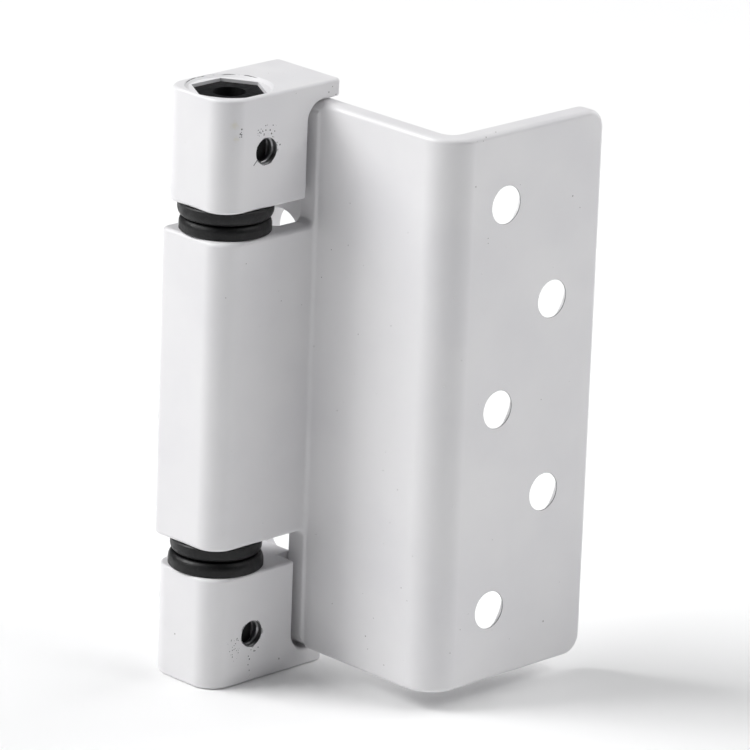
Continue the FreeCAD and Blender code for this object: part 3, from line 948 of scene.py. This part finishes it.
def nibTree():
    tree, given, result = newTree("coatNibs", (
        ("Coated", "Geometry"), ("Per Square Metre", "Float"), ("Smallest", "Float"),
        ("Largest", "Float"), ("Proud", "Float"), ("Seed", "Int"), ("Finish", "Material")), "Nibs")
    scatter = addNode(tree, "GeometryNodeDistributePointsOnFaces")
    feed(tree, scatter.inputs["Mesh"], given["Coated"])
    feed(tree, scatter.inputs["Density"], given["Per Square Metre"])
    feed(tree, scatter.inputs["Seed"], given["Seed"])
    ball = addNode(tree, "GeometryNodeMeshIcoSphere")
    ball.inputs["Radius"].default_value = 1.0
    ball.inputs["Subdivisions"].default_value = nibs["fineness"]
    random = addNode(tree, "FunctionNodeRandomValue")
    feed(tree, random.inputs[2], given["Smallest"])
    feed(tree, random.inputs[3], given["Largest"])
    feed(tree, random.inputs["Seed"], given["Seed"])
    size = addNode(tree, "ShaderNodeCombineXYZ")
    feed(tree, size.inputs[0], random.outputs[1])
    feed(tree, size.inputs[1], random.outputs[1])
    feed(tree, size.inputs[2], times(tree, random.outputs[1], given["Proud"]))
    repeat = addNode(tree, "GeometryNodeInstanceOnPoints")
    feed(tree, repeat.inputs["Points"], scatter.outputs["Points"])
    feed(tree, repeat.inputs["Instance"], ball.outputs["Mesh"])
    feed(tree, repeat.inputs["Rotation"], scatter.outputs["Rotation"])
    feed(tree, repeat.inputs["Scale"], size.outputs[0])
    smooth = addNode(tree, "GeometryNodeSetShadeSmooth")
    feed(tree, smooth.inputs["Geometry"], repeat.outputs[0])
    finishTree(tree, smooth.outputs[0], given["Finish"], result)
    return tree


coatNibs = nibTree()
for leaf, body, seed, finish in (("frame_leaf", "frame_side", nibs["frameSeed"], "frameCoat"),
                                 ("door_leaf", "door_side", nibs["doorSeed"], "doorCoat")):
    grown = growPiece(leaf + "_coat_nibs", coatNibs, {
        "Per Square Metre": nibs["perSquareMetre"],
        "Smallest": nibs["smallest"],
        "Largest": nibs["largest"],
        "Proud": nibs["proud"],
        "Seed": seed,
        "Finish": finishes[finish],
    }, body, source=made[leaf].data)
    print(leaf, "nibs:", len(grown.data.polygons), "faces")

# Studio

studio = {
    "floorHeight": cadBox[0][2],
    "floorReach": 4.0,
    "floorColour": (0.97, 0.97, 0.97, 1),
    "floorShade": 0.995,
    "floorTone": {"scale": 3.0, "detail": 2.0, "from": 0.3, "to": 0.7},
    "floorRoughness": 0.8,
    "floorGloss": 0.1,
    "lightsAim": (0, 0, 0),
    "worldColour": (0.80, 0.88, 1.0, 1),
    "worldLight": 0.03,
}
softboxes = {
    # place, width, height, power
    "leftFar": ((-1.4, 0.35, 0.5), 1.0, 1.0, 2.74),
    "rightFar": ((1.5, -0.35, 0.7), 1.0, 1.0, 12.88),
    "top": ((0.1, 0.2, 1.3), 1.2, 1.2, 2.1),
    "leftRearHigh": ((-0.8, 0.8, 1.1), 0.9, 0.9, 23.32),
    "frontRightHigh": ((0.7, -1.1, 1.3), 0.8, 0.8, 8.45),
    "topRight": ((0.6, -0.3, 1.3), 0.8, 0.8, 1.03),
}


def floorFinish():
    material, tree, shader = newMaterial("studioFloor")
    place = places(tree)[0]
    colour = studio["floorColour"]
    shade = tuple(part * studio["floorShade"] for part in colour[:3]) + (1,)
    tone = patches(tree, place, studio["floorTone"])
    feed(tree, shader.inputs["Base Color"], mixColour(tree, tone, colour, shade))
    shader.inputs["Roughness"].default_value = studio["floorRoughness"]
    shader.inputs["Specular IOR Level"].default_value = studio["floorGloss"]
    return material


def makeFloor():
    reach = studio["floorReach"]
    mesh = bpy.data.meshes.new("studio_floor")
    corners = [(-reach, -reach), (reach, -reach), (reach, reach), (-reach, reach)]
    mesh.from_pydata([(x, y, studio["floorHeight"]) for x, y in corners], [], [(0, 1, 2, 3)])
    mesh.materials.append(floorFinish())
    floor = placeObject("studio_floor", mesh)


def makeLight(name, place, width, height, power):
    light = bpy.data.lights.new(name, "AREA")
    light.shape = "RECTANGLE"
    light.size = width
    light.size_y = height
    light.energy = power
    thing = bpy.data.objects.new(name, light)
    thing.location = place
    aim = Vector(studio["lightsAim"]) - Vector(place)
    thing.rotation_euler = aim.to_track_quat("-Z", "Y").to_euler()
    bpy.context.scene.collection.objects.link(thing)


makeFloor()
for name, (place, width, height, power) in softboxes.items():
    makeLight(name + "Softbox", place, width, height, power)
world = bpy.data.worlds.new("studioWorld")
world.use_nodes = True
backdrop = world.node_tree.nodes["Background"]
backdrop.inputs[0].default_value = studio["worldColour"]
backdrop.inputs[1].default_value = studio["worldLight"]
bpy.context.scene.world = world
bpy.context.scene.view_settings.view_transform = "Standard"

photoView = {
    # place from the pin's middle in metres, and the camera's own axes
    "fromPin": (-0.67230, -0.71675, 0.32817),
    "right": (0.71947, -0.69363, 0.03524),
    "up": (0.19458, 0.25002, 0.94849),
    "forward": (0.66670, 0.67556, -0.31485),
    "lens": 306.71,
    "sensor": 36.0,
    "nearest": 0.05,
    "furthest": 20.0,
}


def makeCamera():
    camera = bpy.data.cameras.new("photoCamera")
    camera.lens = photoView["lens"]
    camera.sensor_width = photoView["sensor"]
    camera.clip_start = photoView["nearest"]
    camera.clip_end = photoView["furthest"]
    thing = bpy.data.objects.new("photoCamera", camera)
    back = [-part for part in photoView["forward"]]
    turn = Matrix([photoView["right"], photoView["up"], back]).transposed()
    thing.matrix_world = Matrix.Translation(pinAxis + Vector(photoView["fromPin"])) @ turn.to_4x4()
    bpy.context.scene.collection.objects.link(thing)
    bpy.context.scene.camera = thing


makeCamera()
print("studio made")
